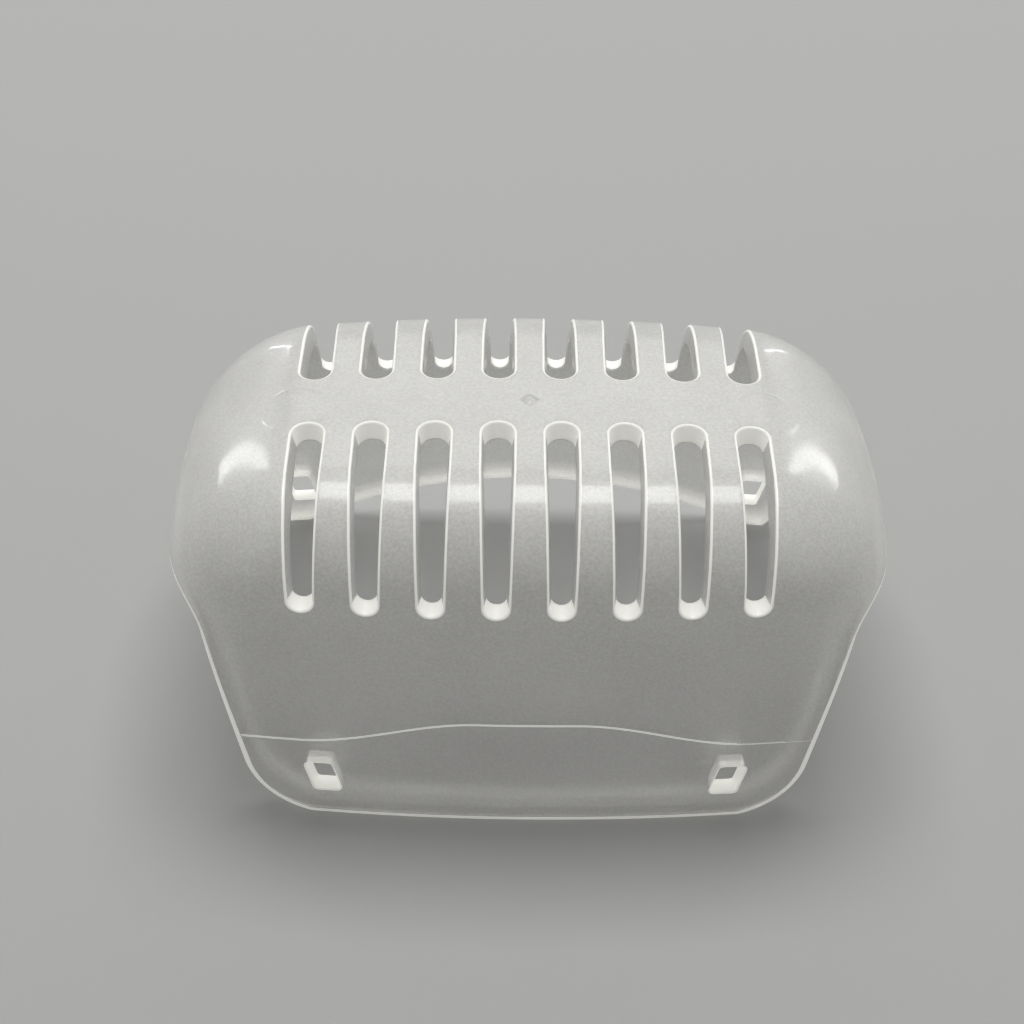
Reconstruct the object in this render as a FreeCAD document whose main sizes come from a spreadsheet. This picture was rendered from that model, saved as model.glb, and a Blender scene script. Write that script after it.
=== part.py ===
import FreeCAD, Part
import math
import os

import Sketcher
from FreeCAD import Placement, Rotation, Vector

# One-piece moulded head cap: a slotted crown over a long front skirt, a shorter back skirt that arches
# up between two corner tabs, and side walls whose rims rise into wide shoulders. The body is drawn on
# the cap's own axis, with the top of the crown at height 0, across on X and the front towards -Y. Its
# placement then leans it back until the front rim and the back tabs stand together at height 0.

SIZES = [
    # Walls, as half sizes at four heights below the top of the crown
    ("wall_thickness", 2.0),
    ("crown_half_width", 29.0),
    ("shoulder_half_width", 35.3),
    ("skirt_half_width", 36.6),
    ("crown_half_depth", 19.9),
    ("skirt_half_depth", 21.1),
    ("corner_radius", 10.0),
    ("front_bow_radius", 270.0),
    ("side_bow_radius", 90.0),
    ("crown_edge_radius", 9.3),
    ("walls_drop", 42.0),
    # Crown slots, one row over the front edge and one over the back edge
    ("slot_count", 8),
    ("slot_pitch", 6.0),
    ("slot_width_top", 3.05),
    ("slot_width_low", 2.3),
    ("slot_end_radius", 1.0),
    ("slot_start", 3.5),
    ("slot_drop", 9.9),
    # Rims, as heights below the top of the crown
    ("shoulder_drop", 11.3),
    ("shoulder_bend_radius", 4.5),
    ("edge_half_width", 32.0),
    ("edge_lean", 11.6),
    ("foot_margin", 0.3),
    ("front_drop", 37.3),
    ("front_reach", 20.0),
    ("front_corner_radius", 9.0),
    ("back_drop", 31.5),
    ("back_reach", 18.5),
    ("back_corner_radius", 2.5),
    ("back_arch_drop", 25.6),
    ("back_arch_radius", 55.0),
    ("back_arch_slope", 26.5),
    # Catch windows in the front skirt and in the back tabs
    ("window_width", 2.6),
    ("window_height", 3.5),
    ("window_slant", 0.9),
    ("front_window_across", 20.0),
    ("front_window_drop", 31.7),
    ("back_window_across", 25.2),
    ("back_window_drop", 26.2),
]
CUT_MARGIN = 1.0
FAR = 60.0
CLOSE = 1e-6

document = FreeCAD.newDocument("head_cap")
sheet = document.addObject("Spreadsheet::Sheet", "Sizes")
for row, (alias, number) in enumerate(SIZES, start=1):
    sheet.set(f"A{row}", alias)
    sheet.set(f"B{row}", str(number))
    sheet.setAlias(f"B{row}", alias)
document.recompute()

cap = document.addObject("PartDesign::Body", "head_cap")
cap.Label = "head_cap"
core = document.addObject("PartDesign::Body", "mould_core")


def value(expression):
    """The number that an expression on the sheet gives, to draw a sketch near its final size."""
    return float(cap.evalExpression(expression))


def origin_feature(body, role):
    """One of a body's own origin planes or axes."""
    return next(feature for feature in body.Origin.OriginFeatures if feature.Role == role)


def new_sketch(body, name, plane, offset="0"):
    """A sketch on one of the body's own planes, moved along that plane's normal by an expression."""
    sketch = body.newObject("Sketcher::SketchObject", name)
    sketch.AttachmentSupport = (origin_feature(body, plane), [""])
    sketch.MapMode = "FlatFace"
    sketch.setExpression("AttachmentOffset.Base.z", offset)
    return sketch


def constrain(sketch, kind, *places, bind=None):
    """Adds a constraint, and binds its size to an expression on the sheet where it has one."""
    if bind is None:
        return sketch.addConstraint(Sketcher.Constraint(kind, *places))
    number = value(bind)
    index = sketch.addConstraint(Sketcher.Constraint(kind, *places, number))
    sketch.setExpression(f"Constraints[{index}]", bind)
    return index


def arc(centre_x, centre_y, radius, start, end):
    """A counter-clockwise arc on a sketch, with its angles in radians."""
    circle = Part.Circle(Vector(centre_x, centre_y, 0), Vector(0, 0, 1), radius)
    return Part.ArcOfCircle(circle, start, end)


def place(sketch, point, x, y):
    """Fixes a point of a sketch at the two expressions, measured from the origin."""
    for kind, axis, expression in (("DistanceX", -2, x), ("DistanceY", -1, y)):
        number = value(expression)
        if abs(number) < CLOSE:
            constrain(sketch, "PointOnObject", *point, axis)
        elif number > 0:
            constrain(sketch, kind, -1, 1, *point, bind=expression)
        else:
            constrain(sketch, kind, *point, -1, 1, bind=f"-({expression})")


def polygon(sketch, corners):
    """A closed outline through corners (x, y, radius or None), where a radius rounds its corner off."""
    spots = [Vector(value(x), value(y), 0) for x, y, _ in corners]
    count = len(corners)
    starts, ends, bends = list(spots), list(spots), {}
    for number, (_, _, radius) in enumerate(corners):
        if radius is None:
            continue
        before = (spots[number - 1] - spots[number]).normalize()
        after = (spots[(number + 1) % count] - spots[number]).normalize()
        opening = before.getAngle(after)
        cut_back = value(radius) / math.tan(opening / 2)
        ends[number] = spots[number] + before * cut_back
        starts[number] = spots[number] + after * cut_back
        middle = spots[number] + (before + after).normalize() * (value(radius) / math.sin(opening / 2))
        arriving, leaving = (math.atan2(point.y - middle.y, point.x - middle.x)
                             for point in (ends[number], starts[number]))
        sweep = (leaving - arriving) % (2 * math.pi)
        anticlockwise = sweep < math.pi
        begin, span = (arriving, sweep) if anticlockwise else (leaving, 2 * math.pi - sweep)
        bends[number] = (arc(middle.x, middle.y, value(radius), begin, begin + span), anticlockwise)
    first = sketch.GeometryCount
    for number in range(count):
        sketch.addGeometry(Part.LineSegment(starts[number], ends[(number + 1) % count]))
    for number, spot in enumerate(spots):
        sketch.addGeometry(Part.Point(spot), True)
        place(sketch, (first + count + number, 1), *corners[number][:2])
    for number, (_, _, radius) in enumerate(corners):
        next_side = first + number
        last_side = first + (number - 1) % count
        corner = first + count + number
        if radius is None:
            constrain(sketch, "Coincident", last_side, 2, next_side, 1)
            constrain(sketch, "Coincident", next_side, 1, corner, 1)
            continue
        constrain(sketch, "PointOnObject", corner, 1, next_side)
        constrain(sketch, "PointOnObject", corner, 1, last_side)
        shape, anticlockwise = bends[number]
        bend = sketch.addGeometry(shape)
        arriving_end, leaving_end = (1, 2) if anticlockwise else (2, 1)
        constrain(sketch, "Tangent", last_side, 2, bend, arriving_end)
        constrain(sketch, "Tangent", next_side, 1, bend, leaving_end)
        constrain(sketch, "Radius", bend, bind=radius)


def cut(sketch, name, length, reverse=False, both_ways=False):
    """A pocket of a body's sketch; reverse sends it along the sketch's normal."""
    pocket = cap.newObject("PartDesign::Pocket", name)
    pocket.Profile = sketch
    pocket.Type = "Length"
    pocket.setExpression("Length", length)
    pocket.Reversed = reverse
    if both_ways:
        pocket.SideType = "Symmetric"
    before = cap.Tip.BaseFeature.Shape.Volume
    document.recompute()
    if not pocket.Shape.Volume < before - CLOSE:
        raise RuntimeError(f"{name} cuts nothing")
    return pocket


def plan_outline(body, name, drop, half_width, half_depth, inset="0"):
    """A wall's plan at one height: four shallow bows joined by four corner arcs, all tangent."""
    a, b = value(f"{half_width} - {inset}"), value(f"{half_depth} - {inset}")
    corner, front, side = (value(f"Sizes.{n}_radius - {inset}") for n in ("corner", "front_bow", "side_bow"))
    side_x, front_y = a - side, b - front
    reach, span = front - corner, side - corner
    gap = math.hypot(side_x, front_y)
    along = (reach**2 - span**2 + gap**2) / (2 * gap)
    across = math.sqrt(reach**2 - along**2)
    toward = (side_x / gap, -front_y / gap)
    cx = toward[0] * along + toward[1] * across
    cy = front_y + toward[1] * along - toward[0] * across
    low, high = math.atan2(cy, cx - side_x), math.atan2(cy - front_y, cx)
    sketch = new_sketch(body, name, "XY_Plane", f"-({drop})")
    turn = math.pi
    sketch.addGeometry([
        arc(side_x, 0, side, -low, low),
        arc(cx, cy, corner, low, high),
        arc(0, front_y, front, high, turn - high),
        arc(-cx, cy, corner, turn - high, turn - low),
        arc(-side_x, 0, side, turn - low, turn + low),
        arc(-cx, -cy, corner, turn + low, turn + high),
        arc(0, -front_y, front, turn + high, 2 * turn - high),
        arc(cx, -cy, corner, 2 * turn - high, 2 * turn - low),
    ])
    for edge in range(8):
        constrain(sketch, "Tangent", edge, 2, (edge + 1) % 8, 1)
    constrain(sketch, "PointOnObject", 0, 3, -1)
    constrain(sketch, "Symmetric", 0, 3, 4, 3, -2)
    constrain(sketch, "PointOnObject", 2, 3, -2)
    constrain(sketch, "Symmetric", 2, 3, 6, 3, -1)
    for first, others, radius in ((0, (4,), "side_bow"), (2, (6,), "front_bow"), (1, (3, 5, 7), "corner")):
        constrain(sketch, "Radius", first, bind=f"Sizes.{radius}_radius - {inset}")
        for other in others:
            constrain(sketch, "Equal", first, other)
    constrain(sketch, "DistanceX", 0, 3, 4, 3, bind=f"2 * (Sizes.side_bow_radius - ({half_width}))")
    constrain(sketch, "DistanceY", 2, 3, 6, 3, bind=f"2 * (Sizes.front_bow_radius - ({half_depth}))")
    return sketch


def rounded_form(body, name, top_width, inset, edge_radius):
    """A smooth loft down through four plans, with the edge round its top rolled over."""
    levels = [
        (inset, top_width, "Sizes.crown_half_depth"),
        ("Sizes.shoulder_drop", "Sizes.shoulder_half_width",
         "0.7 * Sizes.crown_half_depth + 0.3 * Sizes.skirt_half_depth"),
        ("Sizes.walls_drop / 2", "Sizes.skirt_half_width",
         "(Sizes.crown_half_depth + Sizes.skirt_half_depth) / 2"),
        ("Sizes.walls_drop", "Sizes.skirt_half_width", "Sizes.skirt_half_depth"),
    ]
    plans = [
        plan_outline(body, f"{name}_plan_{number}", drop, width, depth, inset)
        for number, (drop, width, depth) in enumerate(levels, start=1)
    ]
    document.recompute()
    loft = body.newObject("PartDesign::AdditiveLoft", name)
    loft.Profile = plans[0]
    loft.Sections = plans[1:]
    document.recompute()
    top = loft.Shape.BoundBox.ZMax
    rim = [f"Edge{number}" for number, edge in enumerate(loft.Shape.Edges, start=1)
           if edge.BoundBox.ZMin > top - CLOSE]
    rolled = body.newObject("PartDesign::Fillet", f"{name}_edge")
    rolled.Base = (loft, rim)
    rolled.setExpression("Radius", edge_radius)
    document.recompute()
    return rolled


# Outer walls, then the moulding core that leaves the hollow inside them
rounded_form(cap, "walls", "Sizes.crown_half_width", "0", "Sizes.crown_edge_radius")
rounded_form(
    core, "core",
    "Sizes.crown_half_width + (Sizes.shoulder_half_width - Sizes.crown_half_width)"
    " * Sizes.wall_thickness / Sizes.shoulder_drop",
    "Sizes.wall_thickness", "Sizes.crown_edge_radius - Sizes.wall_thickness")
hollow = cap.newObject("PartDesign::Boolean", "hollow")
hollow.Type = "Cut"
hollow.setObjects([core])
document.recompute()


def mirrored_trim(name, drop, corner_radius, toward_front):
    """Cuts a wall to its rim: level shoulders, a bend, leaning side edges and rounded lower corners."""
    low_half_width = f"Sizes.edge_half_width - (({drop}) - Sizes.shoulder_drop) * tan(Sizes.edge_lean)"
    right = [
        (str(FAR), "-Sizes.shoulder_drop", None),
        ("Sizes.edge_half_width", "-Sizes.shoulder_drop", "Sizes.shoulder_bend_radius"),
        (low_half_width, f"-({drop})", corner_radius),
    ]
    left = [(f"-({x})", y, radius) for x, y, radius in reversed(right)]
    below = [(str(-FAR), str(-FAR), None), (str(FAR), str(-FAR), None)]
    sketch = new_sketch(cap, f"{name}_outline", "XZ_Plane")
    polygon(sketch, right + left + below)
    return cut(sketch, name, str(FAR), reverse=toward_front)


mirrored_trim("front_trim", "Sizes.front_drop + Sizes.foot_margin", "Sizes.front_corner_radius", True)
mirrored_trim("back_trim", "Sizes.back_drop + Sizes.foot_margin", "Sizes.back_corner_radius", False)

# Arch between the back tabs: one arc, drawn as the rounded top of a wide wedge
arch_sketch = new_sketch(cap, "back_arch_outline", "XZ_Plane")
arch_top = "(Sizes.back_arch_drop - Sizes.back_arch_radius * (1 / cos(Sizes.back_arch_slope) - 1))"
arch_foot = f"({FAR} - {arch_top}) / tan(Sizes.back_arch_slope)"
polygon(arch_sketch, [
    ("0", f"-{arch_top}", "Sizes.back_arch_radius"),
    (f"-{arch_foot}", str(-FAR), None),
    (arch_foot, str(-FAR), None),
])
cut(arch_sketch, "back_arch", str(FAR))

# Foot: everything under the plane on which the front rim and the back tabs stand
rest_slope = "(Sizes.front_drop - Sizes.back_drop) / (Sizes.front_reach + Sizes.back_reach)"
rest_sketch = new_sketch(cap, "foot_outline", "YZ_Plane")
polygon(rest_sketch, [
    (str(-FAR), f"-(Sizes.front_drop + ({FAR} - Sizes.front_reach) * {rest_slope})", None),
    (str(-FAR), str(-2 * FAR), None),
    (str(FAR), str(-2 * FAR), None),
    (str(FAR), f"-(Sizes.front_drop - ({FAR} + Sizes.front_reach) * {rest_slope})", None),
])
cut(rest_sketch, "foot", str(2 * FAR), both_ways=True)


def round_hole(name, x, y, radius):
    """A round hole down through the crown, which gives a slot its rounded upper end."""
    sketch = new_sketch(cap, f"{name}_outline", "XY_Plane", str(CUT_MARGIN))
    circle = sketch.addGeometry(Part.Circle(Vector(value(x), value(y), 0), Vector(0, 0, 1), value(radius)))
    place(sketch, (circle, 3), x, y)
    constrain(sketch, "Radius", circle, bind=radius)
    return cut(sketch, name, f"Sizes.wall_thickness + {2 * CUT_MARGIN}")


def slot_row(name, side):
    """One row of slots: a narrowing band cut over the crown's edge, rounded at both ends, repeated."""
    across = "-(Sizes.slot_count - 1) / 2 * Sizes.slot_pitch"
    begin = "(Sizes.slot_start + Sizes.slot_width_top / 2)"
    flare = f"(Sizes.slot_width_top - Sizes.slot_width_low) / 2 / Sizes.slot_drop * {CUT_MARGIN}"
    outline = new_sketch(cap, f"{name}_outline", "XZ_Plane", f"{-side} * {begin}")
    polygon(outline, [
        (f"{across} - Sizes.slot_width_top / 2 - {flare}", str(CUT_MARGIN), None),
        (f"{across} + Sizes.slot_width_top / 2 + {flare}", str(CUT_MARGIN), None),
        (f"{across} + Sizes.slot_width_low / 2", "-Sizes.slot_drop", "Sizes.slot_end_radius"),
        (f"{across} - Sizes.slot_width_low / 2", "-Sizes.slot_drop", "Sizes.slot_end_radius"),
    ])
    band = cut(outline, f"{name}_band", "Sizes.skirt_half_depth", reverse=side < 0)
    top_end = round_hole(f"{name}_top_end", across, f"{side} * {begin}", "Sizes.slot_width_top / 2")
    row = cap.newObject("PartDesign::LinearPattern", f"{name}_row")
    row.Originals = [band, top_end]
    row.Direction = (origin_feature(cap, "X_Axis"), [""])
    row.setExpression("Length", "(Sizes.slot_count - 1) * Sizes.slot_pitch")
    row.setExpression("Occurrences", "Sizes.slot_count")
    cap.Tip = row
    document.recompute()


slot_row("front_slot", -1)
slot_row("back_slot", 1)


def catch_windows(name, across, drop, toward_front):
    """A pair of slanted windows, each nearer the middle at its lower end."""
    sketch = new_sketch(cap, f"{name}_outline", "XZ_Plane")
    half, tall, lean = "Sizes.window_width / 2", "Sizes.window_height / 2", "Sizes.window_slant / 2"
    for side in ("1", "-1"):
        polygon(sketch, [
            (f"{side} * (Sizes.{across} + {lean} - {half})", f"-Sizes.{drop} + {tall}", None),
            (f"{side} * (Sizes.{across} + {lean} + {half})", f"-Sizes.{drop} + {tall}", None),
            (f"{side} * (Sizes.{across} - {lean} + {half})", f"-Sizes.{drop} - {tall}", None),
            (f"{side} * (Sizes.{across} - {lean} - {half})", f"-Sizes.{drop} - {tall}", None),
        ])
    return cut(sketch, name, str(FAR), reverse=toward_front)


catch_windows("front_windows", "front_window_across", "front_window_drop", True)
catch_windows("back_windows", "back_window_across", "back_window_drop", False)

# Lean the cap back onto its foot plane, with the middle of its box over the origin
document.recompute()
lean = math.degrees(math.atan(value(rest_slope)))
turn = Rotation(Vector(1, 0, 0), -lean)
leaned = cap.Tip.Shape.transformed(Placement(Vector(), turn).toMatrix())
box = leaned.optimalBoundingBox(False)
cap.Placement = Placement(Vector(0, -(box.YMin + box.YMax) / 2, -box.ZMin), turn)
document.recompute()

for item in document.Objects:
    if {"Invalid", "Error"} & set(item.State):
        raise RuntimeError(f"{item.Name} is {item.State}")
if cap.Shape.isNull() or not cap.Shape.isValid() or len(cap.Shape.Solids) != 1:
    raise RuntimeError(f"{cap.Label} is not one valid solid")
os.makedirs("parts", exist_ok=True)
cap.Shape.exportStep(f"parts/{cap.Label}.step")
print(cap.Label, "volume", round(cap.Shape.Volume), "leans", round(lean, 2), cap.Shape.optimalBoundingBox(False))
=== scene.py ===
"""The slotted head cap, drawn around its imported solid.

Every size is in millimetres on the cap's own axes: x across, -y towards the front, and z up with the top of
the crown at 0. The finished mesh is leaned back onto its foot and turned into metres at the very end.
"""

import math

import bmesh
import bpy
import numpy as np
from mathutils import Matrix, Vector
from mathutils.geometry import delaunay_2d_cdt


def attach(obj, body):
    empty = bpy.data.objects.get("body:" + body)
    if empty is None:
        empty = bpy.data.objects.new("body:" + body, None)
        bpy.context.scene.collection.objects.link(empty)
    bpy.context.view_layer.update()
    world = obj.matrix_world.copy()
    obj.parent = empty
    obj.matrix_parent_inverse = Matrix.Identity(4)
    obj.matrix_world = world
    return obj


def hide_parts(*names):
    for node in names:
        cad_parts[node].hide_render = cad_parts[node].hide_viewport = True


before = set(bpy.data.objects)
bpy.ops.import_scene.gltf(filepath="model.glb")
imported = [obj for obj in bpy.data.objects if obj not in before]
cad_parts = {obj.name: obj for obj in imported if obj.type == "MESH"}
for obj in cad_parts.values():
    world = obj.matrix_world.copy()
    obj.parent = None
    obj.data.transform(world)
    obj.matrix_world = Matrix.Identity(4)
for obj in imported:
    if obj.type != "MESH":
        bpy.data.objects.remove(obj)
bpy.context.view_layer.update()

# Outer skin
WALL = 2.0
CROWN_EDGE_RADIUS = 9.3
CROWN_SAG = 0.0009
CORNER_RADIUS = 10.0
FRONT_BOW_RADIUS = 270.0
SIDE_BOW_RADIUS = 90.0
CROWN_HALF_WIDTH = 31.1
WIDENING, WIDENING_FADE = 0.495, 0.011
CROWN_HALF_DEPTH = 19.85
DEPTH_DRAFT = 0.03

# Slots
SLOT_COUNT = 8
SLOT_PITCH = 6.0
SLOT_START = 3.5
SLOT_DROP = 9.9
SLOT_HALF_WIDTHS = (1.525, 1.5, 1.15)
SLOT_DRAFT = math.tan(math.radians(6.5))
SLOT_EDGE = 0.22

# Rims, with heights as drops below the crown
SHOULDER_DROP = 11.3
SHOULDER_BEND = 4.5
EDGE_HALF_WIDTH = 32.0
EDGE_LEAN = math.tan(math.radians(11.6))
FRONT_DROP, FRONT_REACH, FRONT_CORNER = 37.3, 20.0, 9.0
BACK_DROP, BACK_REACH, BACK_CORNER = 31.5, 18.5, 2.5
FOOT_MARGIN = 0.3
ARCH_DROP, ARCH_RADIUS = 25.6, 55.0
ARCH_SLOPE = math.radians(26.5)
RIM_EDGE = 0.95

# Catch windows: half width and half height, slant of each half, rounding, and the place of each mirrored
# pair as its distance across, its drop and its wall
WINDOW_HALF = (1.3, 1.75)
WINDOW_SLANT = 0.45
WINDOW_CORNER = 0.35
WINDOW_EDGE = 0.2
WINDOWS = ((20.0, 31.7, -1), (25.2, 26.2, 1))

# Marks left by the mould: a fine raised line across the front, two insert rings and the gate
LINE_DROP, LINE_FALL, LINE_BEND = 23.6, 3.1, (5.0, 22.0)
LINE_REACH = 28.5
LINE_HEIGHT, LINE_SPREAD = 0.11, 0.13
LINE_FADE, LINE_FADE_SPAN = 0.5, (14.0, 26.0)
# Share of the line's height above which its faces get the cut edges' painted glow, a painted highlight along
# the line
LINE_PAINTED_GLOW_SHARE = 0.45
RING_X, RING_Y, RING_RADIUS = 22.5, -1.0, 3.1
RING_HEIGHT, RING_SPREAD = 0.025, 0.12
GATE_SIZE, GATE_SLOPE, GATE_DEPTH = 1.0, 0.25, 0.2
NUB_HEIGHT, NUB_SPREAD = 0.2, 0.22

# Viewpoint on the cap's own axes: elevation, azimuth and roll in degrees, the distance to the crown's top
# along the view, and the pixel where that top shows in a square image
IMAGE = 1024
SENSOR = 36.0
FOCAL_PIXELS = 1927.5
VIEW_ANGLES = (40.72, -0.26, -0.74)
VIEW_DISTANCE = 185.0
CROWN_PIXEL = (529.95, 399.57)
NEAR_CLIP = 0.005
MM = 1000

# Mesh spacing. The spine is a line along the crown, off which the skin's points are laid out.
STEP = 0.5
RIM_STEP, RIM_TURNS = 0.4, 20000
SLOT_ROWS, SLOT_END_STEPS = 48, 24
WINDOW_STEP, WINDOW_CORNER_STEP = 0.22, 0.06
LINE_STEP = 0.3
RING_POINTS = 72
MARK_STEP = 0.13
MARK_ROWS = np.arange(-2, 3)
MARK_CLEARANCE, EDGE_CLEARANCE = STEP * 0.55, STEP * 0.5
EDGE_TURNS = 4
SPINE = 22.0
FAN_COLUMNS, FAN_SHARPNESS = 128, 6
FAR = 60.0
HALVINGS = 32
NEWTON_STEPS = 5
SLICE = 2000
JOIN_TOLERANCE = 1e-7
FLAT_RUN = CROWN_HALF_DEPTH - CROWN_EDGE_RADIUS
ROLL_RUN = CROWN_EDGE_RADIUS * math.pi / 2
LEAN = -math.atan((FRONT_DROP - BACK_DROP) / (FRONT_REACH + BACK_REACH))

# Frosted skin. Noise scales are in waves a metre. Heights above the floor and the grain's depth are in
# metres. The grain is in the colour, the satin roughness and a slight bump.
PLASTIC_IOR = 1.49
COAT_WEIGHT, COAT_ROUGHNESS = 0.45, 0.085
CLOUD_SCALE, CLOUD_DETAIL, CLOUD_SHARE = 90, 3, 0.35
GRAIN_SCALE, GRAIN_DETAIL = 3600, 2
GRAIN_STRENGTH, GRAIN_DEPTH = 0.5, 0.00003
SKIN_STOPS = (0.5, 0.85)
SKIN_COLOURS = ((0.82, 0.813, 0.785, 1), (0.985, 0.98, 0.955, 1))
SATIN_SPAN, SATIN_ROUGHNESS = (0.3, 0.7), (0.29, 0.36)
CLEAR_HEIGHTS, CLEAR_SHARES = (0.008, 0.032), (0.85, 0.45)
FILLED_HEIGHTS, FILLED_SHARES = (0.006, 0.033), (0.58, 0.9)

# Cut edges: the plastic's own cream tint, painted whiter and given a faint glow as painted light for the
# light that runs along the wall and comes out at the cut
CUT_ROUGHNESS, CUT_CLEARNESS = 0.3, 0.2
CUT_PAINTED_GLOW_COLOUR, CUT_PAINTED_GLOW = (1.0, 0.99, 0.94, 1), 0.22
CUT_SCALE, CUT_DETAIL = 700, 2
CUT_STOPS = (0.3, 0.7)
CUT_TINT_AND_PAINTED_LIGHT = ((0.93, 0.925, 0.87, 1), (0.98, 0.975, 0.94, 1))

# Floor and light. Each lamp has the directions of its two ends from the cap, its distance and width in
# metres and its power in watts. Those at the sides stand in mirrored pairs.
FLOOR_SIZE = 4
FLOOR_COLOUR, FLOOR_ROUGHNESS = (0.46, 0.46, 0.455, 1), 0.7
ROOM_COLOUR, ROOM_STRENGTH = (0.9, 0.9, 0.9, 1), 0.35
PAIRED_LAMPS = (
    ("far_strip_light", (0.47, 0.88, 0.03), (0.4, 0.87, 0.3), 0.8, 0.024, 0.2),
    ("near_strip_light", (0.7, 0.69, 0.03), (0.49, 0.76, 0.42), 0.8, 0.03, 0.34),
)
MIDDLE_LAMPS = (
    ("back_light", (-0.3, 0.83, 0.47), (0.3, 0.83, 0.47), 0.9, 0.12, 0.36),
    ("overhead_light", (0, 0.18, 0.98), (0, 0.53, 0.85), 0.9, 0.6, 4.6),
)


def half_width(depth):
    """Half the width at a depth: it widens quickly under the crown, then more and more slowly."""
    spread = np.minimum(depth, WIDENING / (2 * WIDENING_FADE))
    return CROWN_HALF_WIDTH + WIDENING * spread - WIDENING_FADE * spread**2


def outline_gap(x, y, depth):
    """Signed distance in plan to the outline at a depth: four shallow bows joined by four corner arcs."""
    x, y = np.abs(x), np.abs(y)
    side_x = half_width(depth) - SIDE_BOW_RADIUS
    front_y = CROWN_HALF_DEPTH + DEPTH_DRAFT * depth - FRONT_BOW_RADIUS
    reach, span = FRONT_BOW_RADIUS - CORNER_RADIUS, SIDE_BOW_RADIUS - CORNER_RADIUS
    gap = np.hypot(side_x, front_y)
    along = (reach**2 - span**2 + gap**2) / (2 * gap)
    across = np.sqrt(reach**2 - along**2)
    corner_x = side_x / gap * along - front_y / gap * across
    corner_y = front_y - front_y / gap * along - side_x / gap * across
    dx, dy = x - corner_x, y - corner_y
    past_front = corner_x * dy - (corner_y - front_y) * dx > 0
    past_side = (corner_x - side_x) * dy - corner_y * dx < 0
    front = np.hypot(x, y - front_y) - FRONT_BOW_RADIUS
    side = np.hypot(x - side_x, y) - SIDE_BOW_RADIUS
    corner = np.hypot(dx, dy) - CORNER_RADIUS
    return np.where(past_front & past_side, np.maximum(front, side),
                    np.where(past_front, front, np.where(past_side, side, corner)))


def skin(points):
    """Height above the outer skin: the plan outline and the crown, rolled into each other at the edge."""
    x, y, z = np.moveaxis(points, -1, 0)
    depth = -z - CROWN_SAG * x**2
    wall = outline_gap(x, y, np.maximum(depth, 0)) + CROWN_EDGE_RADIUS
    top = CROWN_EDGE_RADIUS - depth
    rolled = np.hypot(np.maximum(wall, 0), np.maximum(top, 0))
    return rolled + np.minimum(np.maximum(wall, top), 0) - CROWN_EDGE_RADIUS


def slope(points, nudge=1e-3):
    """The gradient of the skin's height, by central differences."""
    nudges = np.eye(3) * nudge
    return np.stack([(skin(points + d) - skin(points - d)) / (2 * nudge) for d in nudges], -1)


def normal(points):
    """The unit normal of the skin at each point."""
    gradient = slope(points)
    return gradient / np.linalg.norm(gradient, axis=-1, keepdims=True)


def settle(points):
    """Moves points onto the skin, a few Newton steps along its gradient."""
    for _ in range(NEWTON_STEPS):
        gradient = slope(points)
        points = points - gradient * (skin(points) / (gradient**2).sum(-1))[..., None]
    return points


def crossing(point_at, count):
    """Where paths from inside cross the skin, by halving; point_at gives each path's point at a distance."""
    low, high = np.zeros(count), np.full(count, FAR)
    for _ in range(HALVINGS):
        middle = (low + high) / 2
        inside = skin(point_at(middle)) < 0
        low, high = np.where(inside, middle, low), np.where(inside, high, middle)
    return point_at(low)


def shoot(origin, direction):
    """Where straight rays from inside cross the skin."""
    return crossing(lambda distance: origin + direction * distance[:, None], len(origin))


def down_profile(spine_x, way_x, way_y, run, flat=FLAT_RUN):
    """Points a given run away from the spine: across the flat, round the roll, then down the wall."""
    spine_x, way_x, way_y, run, flat = np.broadcast_arrays(spine_x, way_x, way_y, run, flat)
    turn = np.clip((run - flat) / CROWN_EDGE_RADIUS, 0, math.pi / 2)
    out = np.minimum(run, flat)
    fall = CROWN_EDGE_RADIUS + np.maximum(run - flat - ROLL_RUN, 0)
    origin = np.stack([spine_x + way_x * out, way_y * out, -fall], -1).reshape(-1, 3)
    direction = np.stack([way_x * np.sin(turn), way_y * np.sin(turn), np.cos(turn)], -1).reshape(-1, 3)
    return shoot(origin, direction)


def at_drop(x, drop, side):
    """Points on the front (-1) or back (+1) wall at a distance across and a drop."""
    x, drop = np.broadcast_arrays(x, drop)
    origin = np.stack([x, np.zeros_like(x), -drop], -1).astype(float)
    return shoot(origin, np.broadcast_to([0.0, side, 0.0], origin.shape))


def unrolled(points):
    """Lays the skin flat, only to decide which points are joined: out from the spine, plus the drop."""
    x, y, z = points.T
    spine_x = np.clip(x, -SPINE, SPINE)
    out = np.hypot(x - spine_x, y)
    depth = -z - CROWN_SAG * x**2
    stretch = 1 + depth / np.maximum(out, 1e-9)
    return np.stack([spine_x + (x - spine_x) * stretch, y * stretch], -1)


def even_spacing(points, step, closed=False):
    """The same path with its points evenly spaced along it."""
    if closed:
        points = np.vstack([points, points[:1]])
    length = np.concatenate([[0], np.cumsum(np.linalg.norm(np.diff(points, axis=0), axis=1))])
    count = max(int(round(length[-1] / step)), 3)
    marks = np.linspace(0, length[-1], count + 1)
    even = np.stack([np.interp(marks, length, column) for column in points.T], -1)
    return even[:-1] if closed else even


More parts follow.
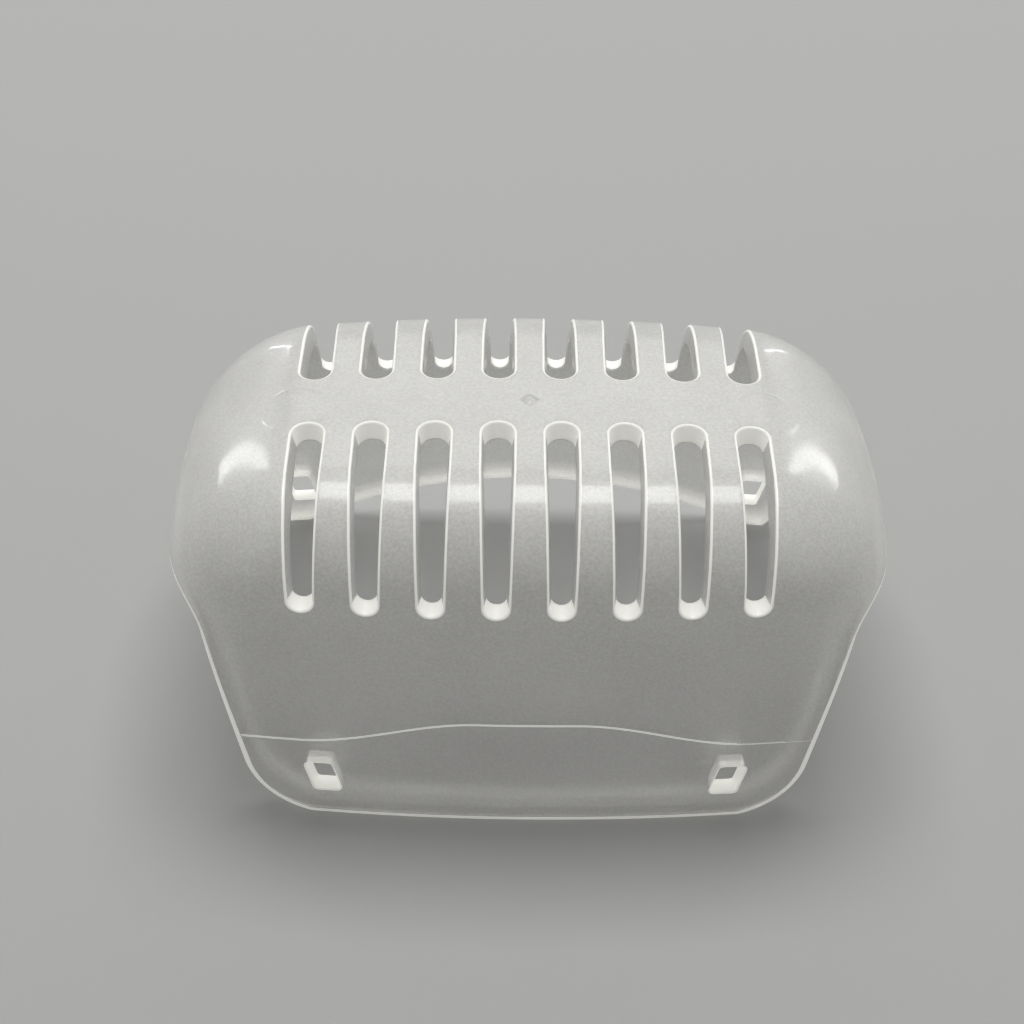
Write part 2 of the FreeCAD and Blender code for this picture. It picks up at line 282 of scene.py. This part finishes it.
def rounded(corners, radii, step=0.15, fewest=6):
    """A path through 2-D corners with tangent arcs of the given radii at all but its two ends."""
    corners = np.array(corners, float)
    pieces = [corners[:1]]
    for before, corner, after, radius in zip(corners, corners[1:], corners[2:], radii):
        into, out = (v / np.linalg.norm(v) for v in (before - corner, after - corner))
        opening = math.acos(np.clip(into @ out, -1, 1))
        bisector = (into + out) / np.linalg.norm(into + out)
        middle = corner + bisector * radius / math.sin(opening / 2)
        start = corner + into * radius / math.tan(opening / 2)
        end = corner + out * radius / math.tan(opening / 2)
        turn = math.pi - opening
        share = np.linspace(0, 1, max(int(turn * radius / step), fewest))[:, None]
        spoke_in, spoke_out = start - middle, end - middle
        arc = (np.sin((1 - share) * turn) * spoke_in + np.sin(share * turn) * spoke_out) / math.sin(turn)
        pieces.append(middle + arc)
    pieces.append(corners[-1:])
    return np.vstack(pieces)


def side_drop(x, low, corner):
    """The drop of a wall's side outline: level shoulder, bend, leaning edge, round corner, level bottom."""
    low = low + FOOT_MARGIN
    corner_x = EDGE_HALF_WIDTH - (low - SHOULDER_DROP) * EDGE_LEAN
    outline = rounded([(FAR, SHOULDER_DROP), (EDGE_HALF_WIDTH, SHOULDER_DROP), (corner_x, low), (0, low)],
                      (SHOULDER_BEND, corner))
    return np.interp(-np.abs(x), -outline[:, 0], outline[:, 1])


def rim_drop(x, y):
    """The drop of the rim over each point in plan."""
    front = side_drop(x, FRONT_DROP, FRONT_CORNER)
    back = np.minimum(side_drop(x, BACK_DROP, BACK_CORNER), arch_drop(x))
    return np.minimum(np.where(y < 0, front, back), foot_drop(y))


def rim_path():
    """The rim as one closed loop on the outer skin, evenly spaced."""
    turns = np.linspace(0, 2 * math.pi, RIM_TURNS + 1)[:-1]
    way = np.stack([np.cos(turns), np.sin(turns)])

    def point_at(distance):
        x, y = way * distance
        return np.stack([x, y, -rim_drop(x, y)], -1)

    return settle(even_spacing(crossing(point_at, len(turns)), RIM_STEP, closed=True))


def foot_drop(y):
    """The drop of the plane that the cap stands on."""
    return FRONT_DROP - (y + FRONT_REACH) * (FRONT_DROP - BACK_DROP) / (FRONT_REACH + BACK_REACH)


def arch_drop(x):
    """The drop of the back rim: one arc between the tabs, tangent to the flanks at their slope."""
    x = np.abs(x)
    tangent = ARCH_RADIUS * math.sin(ARCH_SLOPE)
    arc = ARCH_DROP + ARCH_RADIUS - np.sqrt(ARCH_RADIUS**2 - np.minimum(x, tangent) ** 2)
    return arc + np.maximum(x - tangent, 0) * math.tan(ARCH_SLOPE)


def slot_path(x, side):
    """A slot's edge on the outer skin, narrowing sides between two half rounds, and which are sides."""
    start = SLOT_START + SLOT_HALF_WIDTHS[0]
    low_turn = math.acos(1 - (SLOT_DROP - SLOT_HALF_WIDTHS[2]) / CROWN_EDGE_RADIUS)
    end = FLAT_RUN + CROWN_EDGE_RADIUS * low_turn
    runs = np.linspace(start, end, SLOT_ROWS)
    widths = np.interp(runs, [start, FLAT_RUN, end], SLOT_HALF_WIDTHS)
    angles = np.linspace(0, math.pi, SLOT_END_STEPS + 1)[1:-1]
    top = np.stack([-widths[0] * np.cos(angles), start - widths[0] * np.sin(angles)], -1)
    low = np.stack([widths[-1] * np.cos(angles), end + widths[-1] * np.sin(angles)], -1)
    right, left = np.stack([widths, runs], -1), np.stack([-widths, runs], -1)[::-1]
    edge = np.vstack([top, right, low, left])
    sides = np.repeat([False, True, False, True], [len(part) for part in (top, right, low, left)])
    return down_profile(x + edge[:, 0], 0.0, float(side), edge[:, 1]), sides


def window_path(across, drop, side, mirror):
    """A catch window's edge: a slanted quadrilateral with small round corners."""
    wide, tall = WINDOW_HALF
    corners = np.array([(-wide + WINDOW_SLANT, -tall), (wide + WINDOW_SLANT, -tall),
                        (wide - WINDOW_SLANT, tall), (-wide - WINDOW_SLANT, tall)])
    middle = (corners[0] + corners[1]) / 2
    ring = rounded([middle, *corners[1:], corners[0], middle], (WINDOW_CORNER,) * 4, WINDOW_CORNER_STEP)
    ring = even_spacing(ring[:-1], WINDOW_STEP, closed=True)
    return at_drop(mirror * (across + ring[:, 0]), drop + ring[:, 1], side)


def smooth_field():
    """Points all over the skin: straight rows off the spine, and fans round its two ends."""
    runs = np.arange(STEP / 2, FLAT_RUN + ROLL_RUN + FRONT_DROP, STEP)
    spots = np.arange(-SPINE, SPINE + STEP / 2, STEP)
    x, run = np.meshgrid(spots, runs, indexing="ij")
    straight = [down_profile(x.ravel(), 0.0, side, run.ravel()) for side in (-1.0, 1.0)]
    turns = np.linspace(-math.pi / 2, math.pi / 2, FAN_COLUMNS + 1)[1:-1]
    turn, run = np.meshgrid(turns, runs, indexing="ij")
    flat = FLAT_RUN * np.abs(np.sin(turn)) ** FAN_SHARPNESS
    fans = []
    for side in (-1.0, 1.0):
        fan = down_profile(side * SPINE, side * np.cos(turn), np.sin(turn), run, flat)
        fan = fan.reshape(*turn.shape, 3)
        # Near the pole only every second, fourth or eighth column is kept
        spacing = np.median(np.linalg.norm(np.diff(fan, axis=0), axis=-1), axis=0)
        skip = 2 ** np.floor(np.log2(np.maximum(STEP / spacing, 1))).astype(int)
        fans.append(fan[np.arange(1, FAN_COLUMNS)[:, None] % skip == 0])
    return np.vstack(straight + fans)


def smooth_step(value, low, high):
    """Rises smoothly from 0 at low to 1 at high."""
    share = np.clip((value - low) / (high - low), 0, 1)
    return share**2 * (3 - 2 * share)


def line_drop(x):
    """The raised line's drop: highest in the middle, falling away smoothly to both sides."""
    return LINE_DROP + LINE_FALL * smooth_step(np.abs(x), *LINE_BEND)


def on_crown(x, y):
    """Points of the crown straight above places in plan."""
    origin = np.stack([x.ravel(), y.ravel(), np.full(x.size, -CROWN_EDGE_RADIUS)], -1)
    return shoot(origin, np.broadcast_to([0.0, 0.0, 1.0], origin.shape))


def mark_points():
    """Closely spaced points that carry the marks: rows along the line, circles on the rings, a gate grid."""
    x, offset = np.meshgrid(np.arange(-LINE_REACH, LINE_REACH, LINE_STEP), MARK_ROWS * MARK_STEP)
    line = at_drop(x.ravel(), (line_drop(x) + offset).ravel(), -1)
    turns = np.linspace(0, 2 * math.pi, RING_POINTS + 1)[:-1]
    turn, radius = np.meshgrid(turns, RING_RADIUS + MARK_ROWS * MARK_STEP)
    ring_x, ring_y = radius * np.cos(turn), radius * np.sin(turn)
    rings = [on_crown(side * RING_X + ring_x, RING_Y + ring_y) for side in (-1, 1)]
    reach = np.arange(-GATE_SIZE - MARK_STEP, GATE_SIZE + 1.5 * MARK_STEP, MARK_STEP)
    gate = on_crown(*np.meshgrid(reach, reach))
    return np.vstack([line, *rings, gate])


def line_relief(points):
    """Height of the raised line: a bell across it, sinking towards one end."""
    x, y, z = points.T
    from_line = -z - line_drop(x)
    fade = 1 - LINE_FADE * smooth_step(x, *LINE_FADE_SPAN)
    return np.where(y < -CROWN_EDGE_RADIUS, fade * LINE_HEIGHT * np.exp(-(from_line / LINE_SPREAD) ** 2), 0)


def relief(points):
    """Height of the marks above the plain skin: bell-shaped lines, and a sunk diamond round a small nub."""
    x, y, z = points.T
    from_ring = np.hypot(np.abs(x) - RING_X, y - RING_Y) - RING_RADIUS
    ring = np.where(z > -CROWN_EDGE_RADIUS / 2, RING_HEIGHT * np.exp(-(from_ring / RING_SPREAD) ** 2), 0)
    sunk = smooth_step(GATE_SIZE - np.abs(x) - np.abs(y), 0, GATE_SLOPE)
    nub = NUB_HEIGHT * np.exp(-(x**2 + y**2) / NUB_SPREAD**2)
    gate = np.where(z > -CROWN_EDGE_RADIUS / 2, nub - GATE_DEPTH * sunk, 0)
    return line_relief(points) + ring + gate


def inside_loop(points, loop):
    """Even-odd test of 2-D points against a closed loop."""
    after = np.roll(loop, -1, axis=0)
    px, py = points[:, :1], points[:, 1:]
    crosses = (loop[:, 1] > py) != (after[:, 1] > py)
    rise = np.where(after[:, 1] == loop[:, 1], 1.0, after[:, 1] - loop[:, 1])
    at = loop[:, 0] + (py - loop[:, 1]) / rise * (after[:, 0] - loop[:, 0])
    return (crosses & (px < at)).sum(1) % 2 == 1


def nearest(points, others):
    """Distance from each point to the nearest of the others, worked through in slices."""
    slices = np.array_split(points, max(len(points) // SLICE, 1))
    return np.concatenate([np.sqrt(((part[:, None] - others) ** 2).sum(-1)).min(1) for part in slices])


class Opening:
    """A cut edge through the wall, carried from the outer skin to the inner one by a rounded profile.

    Where clear is true the flat of the cut has the skin's own finish; elsewhere all of it gets the cut edges'
    painted glow.
    """

    def __init__(self, path, edge, draft, hole, clear=False):
        self.clear = np.broadcast_to(clear, len(path))
        ahead = np.roll(path, -1, axis=0) - np.roll(path, 1, axis=0)
        ahead /= np.linalg.norm(ahead, axis=1, keepdims=True)
        outward = normal(path)
        sideways = np.cross(ahead, outward)
        away = path - path.mean(0) if hole else -path
        if (sideways * away).sum() < 0:
            sideways = -sideways
        turns = np.linspace(0, math.pi / 2, EDGE_TURNS + 1)[1:]
        top = np.stack([edge - edge * np.sin(turns), edge - edge * np.cos(turns)], -1)
        low = np.stack([top[:, 0], WALL - top[:, 1]], -1)[::-1]
        low[:, 0] -= WALL * draft
        profile = np.vstack([top, low])
        self.first = settle(path + sideways * edge)
        last_top = settle(path + sideways * (edge - WALL * draft))
        self.last = last_top - normal(last_top) * WALL
        self.rings = [path + sideways * a - outward * b for a, b in profile[:-1]]


def cap_openings():
    """Every cut edge of the cap: the rim first, then the slots and the catch windows."""
    openings = [Opening(rim_path(), RIM_EDGE, 0.0, hole=False)]
    first_slot = -(SLOT_COUNT - 1) / 2 * SLOT_PITCH
    for side in (-1, 1):
        for number in range(SLOT_COUNT):
            path, sides = slot_path(first_slot + number * SLOT_PITCH, side)
            openings.append(Opening(path, SLOT_EDGE, SLOT_DRAFT, hole=True, clear=sides))
    for across, drop, side in WINDOWS:
        for mirror in (-1, 1):
            openings.append(Opening(window_path(across, drop, side, mirror), WINDOW_EDGE, 0.0, hole=True))
    return openings


def on_skin(places, flat_loops):
    """Which places of the flat layout lie inside the rim and outside every hole."""
    kept = inside_loop(places, flat_loops[0])
    for loop in flat_loops[1:]:
        kept &= ~inside_loop(places, loop)
    return kept


def skin_points(loops, flat_loops):
    """The skin's points off the cut edges: the marks, and the field where it is clear of marks and edges."""
    marks = mark_points()
    field = smooth_field()
    field = np.vstack([marks, field[nearest(field, marks) > MARK_CLEARANCE]])
    field = field[on_skin(unrolled(field), flat_loops)]
    return field[nearest(field, np.vstack(loops)) > EDGE_CLEARANCE]


def skin_triangles(points, starts, flat_loops):
    """Joins the points in the flat layout, keeping the cut edges, and points every face outwards."""
    edges = [np.stack([a + np.arange(b - a), a + (np.arange(b - a) + 1) % (b - a)], -1)
             for a, b in zip(starts, starts[1:])]
    flat = unrolled(points)
    made = delaunay_2d_cdt(flat.tolist(), np.vstack(edges).tolist(), [], 0, JOIN_TOLERANCE)
    origin = np.array([source[0] for source in made[3]])
    triangles = origin[np.array(made[2])]
    # A face with all its corners on cut edges may span a hole
    doubtful = (triangles < starts[-1]).all(1)
    kept = np.ones(len(triangles), bool)
    kept[doubtful] = on_skin(flat[triangles[doubtful]].mean(1), flat_loops)
    triangles = triangles[kept]
    corners = points[triangles]
    facing = np.cross(corners[:, 1] - corners[:, 0], corners[:, 2] - corners[:, 0])
    flipped = (facing * normal(corners.mean(1))).sum(1) < 0
    triangles[flipped] = triangles[flipped][:, ::-1]
    return triangles


def build_cap():
    """Triangulates the skin between the openings, repeats it inside the wall and joins both at each edge."""
    openings = cap_openings()
    loops = [opening.first for opening in openings]
    flat_loops = [unrolled(loop) for loop in loops]
    points = np.vstack(loops + [skin_points(loops, flat_loops)])
    starts = np.cumsum([0] + [len(loop) for loop in loops])
    triangles = skin_triangles(points, starts, flat_loops)
    outward = normal(points)
    inner = points - outward * WALL
    raised = relief(points) * (np.arange(len(points)) >= starts[-1])
    points = points + outward * raised[:, None]
    for opening, start in zip(openings, starts):
        inner[start:start + len(opening.last)] = opening.last
    vertices = [points, inner]
    total = 2 * len(points)
    faces = np.vstack([triangles, triangles[:, ::-1] + len(points)])
    # The faces marked here get the cut edges' painted glow: painted light on the outer rounding of each cut
    quads, painted_glow = [], []
    for opening, start in zip(openings, starts):
        count = len(opening.first)
        rows = [start + np.arange(count)]
        for ring in opening.rings:
            vertices.append(ring)
            rows.append(total + np.arange(count))
            total += count
        rows.append(len(points) + start + np.arange(count))
        flat_cut = len(rows) // 2
        for number, (upper, lower) in enumerate(zip(rows, rows[1:])):
            quads.append(np.stack([upper, np.roll(upper, -1), np.roll(lower, -1), lower], -1))
            painted_glow.append(~opening.clear if number == flat_cut else np.full(count, number < flat_cut))
    vertices = np.vstack(vertices)
    vertices[:, 2] = np.maximum(vertices[:, 2], -foot_drop(vertices[:, 1]))
    # The top of the raised line gets the cut edges' painted glow, a painted highlight along it
    on_line = line_relief(points[triangles].mean(1)) > LINE_PAINTED_GLOW_SHARE * LINE_HEIGHT
    painted_glow = np.concatenate([on_line, np.zeros(len(triangles), bool), *painted_glow])
    return vertices, faces, np.vstack(quads), painted_glow


def leaned(points):
    """Turns points or directions of the cap's own axes back about x, onto its foot."""
    x, y, z = np.moveaxis(np.asarray(points, float), -1, 0)
    return np.stack([x, y * math.cos(LEAN) - z * math.sin(LEAN), y * math.sin(LEAN) + z * math.cos(LEAN)], -1)


def seating(vertices):
    """The shift that stands the leaned cap on the floor, with the middle of its box over the origin."""
    placed = leaned(vertices)
    low, high = placed.min(0), placed.max(0)
    return np.array([0, -(low[1] + high[1]) / 2, -low[2]])


def noise(nodes, links, place, scale, detail):
    """Soft procedural noise at a scale in waves a metre."""
    texture = nodes.new("ShaderNodeTexNoise")
    texture.inputs["Scale"].default_value = scale
    texture.inputs["Detail"].default_value = detail
    links.new(place, texture.inputs["Vector"])
    return texture.outputs["Fac"]


def ranged(nodes, links, value, before, after):
    """A value mapped smoothly from one range to another, and held at its ends."""
    node = nodes.new("ShaderNodeMapRange")
    node.interpolation_type = "SMOOTHSTEP"
    for socket, number in zip(("From Min", "From Max", "To Min", "To Max"), before + after):
        node.inputs[socket].default_value = number
    links.new(value, node.inputs["Value"])
    return node.outputs["Result"]


def mapped(nodes, links, value, stops, colours):
    """A value turned into a colour between two stops."""
    ramp = nodes.new("ShaderNodeValToRGB")
    for element, position, colour in zip(ramp.color_ramp.elements, stops, colours):
        element.position = position
        element.color = colour
    links.new(value, ramp.inputs["Fac"])
    return ramp.outputs["Color"]


def frosted_plastic():
    """Milky see-through plastic: a finely grained satin skin, clearer down the skirts than over the crown."""
    material = bpy.data.materials.new("frosted_plastic")
    material.use_nodes = True
    nodes, links = material.node_tree.nodes, material.node_tree.links
    shader = nodes["Principled BSDF"]
    shader.inputs["IOR"].default_value = PLASTIC_IOR
    shader.inputs["Coat Weight"].default_value = COAT_WEIGHT
    shader.inputs["Coat Roughness"].default_value = COAT_ROUGHNESS
    place = nodes.new("ShaderNodeTexCoord").outputs["Object"]
    clouds = noise(nodes, links, place, CLOUD_SCALE, CLOUD_DETAIL)
    grain = noise(nodes, links, place, GRAIN_SCALE, GRAIN_DETAIL)
    speckle = nodes.new("ShaderNodeMath")
    speckle.operation = "MULTIPLY_ADD"
    speckle.inputs[1].default_value = CLOUD_SHARE
    links.new(clouds, speckle.inputs[0])
    links.new(grain, speckle.inputs[2])
    tint = mapped(nodes, links, speckle.outputs["Value"], SKIN_STOPS, SKIN_COLOURS)
    links.new(tint, shader.inputs["Base Color"])
    links.new(ranged(nodes, links, grain, SATIN_SPAN, SATIN_ROUGHNESS), shader.inputs["Roughness"])
    height = nodes.new("ShaderNodeSeparateXYZ")
    links.new(place, height.inputs["Vector"])
    clearness = ranged(nodes, links, height.outputs["Z"], CLEAR_HEIGHTS, CLEAR_SHARES)
    links.new(clearness, shader.inputs["Transmission Weight"])
    filled = ranged(nodes, links, height.outputs["Z"], FILLED_HEIGHTS, FILLED_SHARES)
    links.new(filled, shader.inputs["Alpha"])
    bump = nodes.new("ShaderNodeBump")
    bump.inputs["Strength"].default_value = GRAIN_STRENGTH
    bump.inputs["Distance"].default_value = GRAIN_DEPTH
    links.new(grain, bump.inputs["Height"])
    links.new(bump.outputs["Normal"], shader.inputs["Normal"])
    return material


def edge_plastic_with_painted_glow():
    """The same plastic where it is cut through, cream-tinted, painted whiter and given a faint glow of its
    own: painted light for the light that runs along the wall and out here.
    """
    material = bpy.data.materials.new("edge_plastic_with_painted_glow")
    material.use_nodes = True
    nodes, links = material.node_tree.nodes, material.node_tree.links
    shader = nodes["Principled BSDF"]
    shader.inputs["IOR"].default_value = PLASTIC_IOR
    shader.inputs["Roughness"].default_value = CUT_ROUGHNESS
    shader.inputs["Transmission Weight"].default_value = CUT_CLEARNESS
    # Painted glow: the cut faces give off a little light, standing in for light carried along the wall
    shader.inputs["Emission Color"].default_value = CUT_PAINTED_GLOW_COLOUR
    shader.inputs["Emission Strength"].default_value = CUT_PAINTED_GLOW
    place = nodes.new("ShaderNodeTexCoord").outputs["Object"]
    clouds = noise(nodes, links, place, CUT_SCALE, CUT_DETAIL)
    links.new(mapped(nodes, links, clouds, CUT_STOPS, CUT_TINT_AND_PAINTED_LIGHT), shader.inputs["Base Color"])
    return material


def make_cap(vertices, triangles, quads, painted_glow):
    """The cap's mesh object: smooth all over, with the cut edges and the raised line painted whiter and
    faintly glowing, a painted highlight standing in for light that comes out at the cuts.
    """
    mesh = bpy.data.meshes.new("slotted_cap")
    mesh.from_pydata(vertices.tolist(), [], triangles.tolist() + quads.tolist())
    work = bmesh.new()
    work.from_mesh(mesh)
    bmesh.ops.recalc_face_normals(work, faces=work.faces)
    work.to_mesh(mesh)
    work.free()
    mesh.shade_smooth()
    mesh.materials.append(frosted_plastic())
    mesh.materials.append(edge_plastic_with_painted_glow())
    mesh.polygons.foreach_set("material_index", painted_glow.astype(np.int32))
    piece = bpy.data.objects.new("slotted_cap", mesh)
    bpy.context.scene.collection.objects.link(piece)
    return piece


def add_camera(shift):
    """The photograph's viewpoint, given on the cap's own axes and carried along as the cap is seated."""
    elevation, azimuth, roll = (math.radians(angle) for angle in VIEW_ANGLES)
    right = np.array([math.cos(azimuth), math.sin(azimuth), 0])
    ahead = np.array([-math.sin(azimuth) * math.cos(elevation), math.cos(azimuth) * math.cos(elevation),
                      -math.sin(elevation)])
    down = np.cross(ahead, right)
    turned = right * math.cos(roll) + down * math.sin(roll)
    dropped = down * math.cos(roll) - right * math.sin(roll)
    off_right, off_down = ((at - IMAGE / 2) * VIEW_DISTANCE / FOCAL_PIXELS for at in CROWN_PIXEL)
    eye = -(off_right * turned + off_down * dropped + VIEW_DISTANCE * ahead)
    matrix = np.eye(4)
    matrix[:3, :3] = leaned(np.stack([turned, -dropped, -ahead])).T
    matrix[:3, 3] = (leaned(eye) + shift) / MM
    data = bpy.data.cameras.new("camera")
    data.sensor_width = SENSOR
    data.lens = SENSOR * FOCAL_PIXELS / IMAGE
    data.clip_start = NEAR_CLIP
    camera = bpy.data.objects.new("camera", data)
    camera.matrix_world = Matrix(matrix.tolist())
    bpy.context.scene.collection.objects.link(camera)
    bpy.context.scene.camera = camera


def add_floor():
    """A plain pale floor."""
    bpy.ops.mesh.primitive_plane_add(size=FLOOR_SIZE)
    floor = bpy.context.object
    floor.name = "floor"
    material = bpy.data.materials.new("pale_floor")
    material.use_nodes = True
    shader = material.node_tree.nodes["Principled BSDF"]
    shader.inputs["Base Color"].default_value = FLOOR_COLOUR
    shader.inputs["Roughness"].default_value = FLOOR_ROUGHNESS
    floor.data.materials.append(material)


def add_soft_lamp(name, low, high, distance, width, power):
    """A soft rectangular lamp that faces the cap, drawn between two directions from it."""
    low = Vector(low).normalized() * distance
    high = Vector(high).normalized() * distance
    back = ((low + high) / 2).normalized()
    along = (high - low).normalized()
    data = bpy.data.lights.new(name, "AREA")
    data.shape = "RECTANGLE"
    data.size, data.size_y = width, (high - low).length
    data.energy = power
    lamp = bpy.data.objects.new(name, data)
    turn = Matrix((along.cross(back), along, back)).transposed().to_4x4()
    lamp.matrix_world = Matrix.Translation((low + high) / 2) @ turn
    bpy.context.scene.collection.objects.link(lamp)


def add_room():
    """Even light from all round."""
    world = bpy.data.worlds.new("room")
    world.use_nodes = True
    background = world.node_tree.nodes["Background"]
    background.inputs["Color"].default_value = ROOM_COLOUR
    background.inputs["Strength"].default_value = ROOM_STRENGTH
    bpy.context.scene.world = world


vertices, triangles, quads, painted_glow = build_cap()
shift = seating(vertices)
cap = make_cap((leaned(vertices) + shift) / MM, triangles, quads, painted_glow)
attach(cap, "root")
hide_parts("head_cap")

add_camera(shift)
add_floor()
add_room()
for side in (-1, 1):
    for name, (low_x, *low), (high_x, *high), *rest in PAIRED_LAMPS:
        add_soft_lamp(name, (side * low_x, *low), (side * high_x, *high), *rest)
for lamp in MIDDLE_LAMPS:
    add_soft_lamp(*lamp)
bpy.context.scene.view_settings.view_transform = "Standard"
